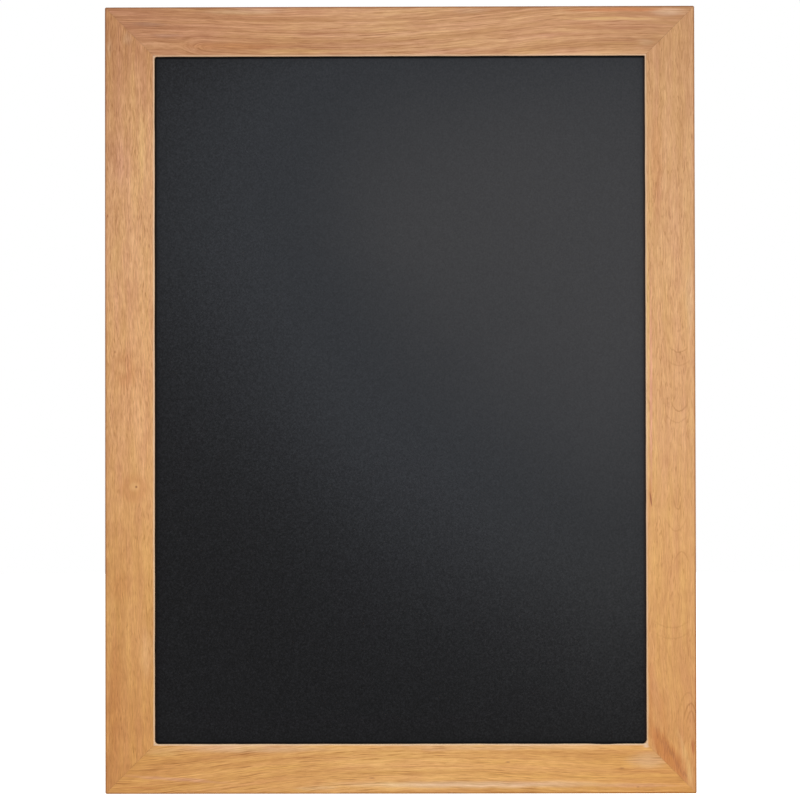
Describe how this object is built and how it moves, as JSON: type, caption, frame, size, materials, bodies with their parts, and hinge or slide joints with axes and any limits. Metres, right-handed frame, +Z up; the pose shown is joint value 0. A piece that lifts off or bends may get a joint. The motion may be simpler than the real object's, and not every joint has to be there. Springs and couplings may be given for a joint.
{
  "type": "chalkboard",
  "caption": "Upright wall-hung chalkboard: matte black writing sheet set back in a mitred golden timber frame, with swinging D-ring hangers and rubber bumpers behind.",
  "frame": {"origin": "on the flat back of the top rail, midway along its length and across its width", "axes": "+X to the right as seen from the front, +Y towards the wall, +Z up the board; the writing side faces -Y"},
  "size_m": [0.6, 0.023, 0.8],
  "materials": {
    "top_rail_wood": "satin lacquer over a reddish golden straight-grained hardwood, the darkest of the four members",
    "bottom_rail_wood": "satin lacquer over a light golden hardwood",
    "left_stile_wood": "satin lacquer over an even straight-grained golden hardwood",
    "right_stile_wood": "satin lacquer over a light golden hardwood with a cathedral figure at its foot",
    "writing_surface": "fine-textured matte black chalk surface",
    "fibreboard": "bare medium-brown fibreboard",
    "nail_steel": "bright rolled strip",
    "point_steel": "thin bright strip",
    "zinc_plate": "bright zinc plated sheet",
    "screw_steel": "zinc plated",
    "ring_wire": "nickel plated wire",
    "bumper_rubber": "matte moulded rubber"
  },
  "bodies": {
    "board": {"top_rail": "top_rail_wood", "bottom_rail": "bottom_rail_wood", "left_stile": "left_stile_wood", "right_stile": "right_stile_wood", "writing_sheet": "writing_surface", "backing_board": "fibreboard", "v_nail_top_left_1": "nail_steel", "v_nail_top_left_2": "nail_steel", "v_nail_top_right_1": "nail_steel", "v_nail_top_right_2": "nail_steel", "v_nail_bottom_left_1": "nail_steel", "v_nail_bottom_left_2": "nail_steel", "v_nail_bottom_right_1": "nail_steel", "v_nail_bottom_right_2": "nail_steel", "flexible_point_top_1": "point_steel", "flexible_point_top_2": "point_steel", "flexible_point_top_3": "point_steel", "flexible_point_bottom_1": "point_steel", "flexible_point_bottom_2": "point_steel", "flexible_point_bottom_3": "point_steel", "flexible_point_left_1": "point_steel", "flexible_point_left_2": "point_steel", "flexible_point_left_3": "point_steel", "flexible_point_left_4": "point_steel", "flexible_point_right_1": "point_steel", "flexible_point_right_2": "point_steel", "flexible_point_right_3": "point_steel", "flexible_point_right_4": "point_steel", "left_hanger_strap": "zinc_plate", "left_hanger_screw_1": "screw_steel", "left_hanger_screw_2": "screw_steel", "right_hanger_strap": "zinc_plate", "right_hanger_screw_1": "screw_steel", "right_hanger_screw_2": "screw_steel", "left_wall_bumper": "bumper_rubber", "right_wall_bumper": "bumper_rubber"},
    "left_ring": {"left_d_ring": "ring_wire"},
    "right_ring": {"right_d_ring": "ring_wire"}
  },
  "joints": [
    {"name": "left_ring_swing", "type": "hinge", "parent": "board", "child": "left_ring", "pos_m": [-0.27475, 0.00225, -0.09475], "axis": [-1, 0, 0], "range_deg": [0, 178]},
    {"name": "right_ring_swing", "type": "hinge", "parent": "board", "child": "right_ring", "pos_m": [0.27475, 0.00225, -0.09475], "axis": [-1, 0, 0], "range_deg": [0, 178]}
  ]
}
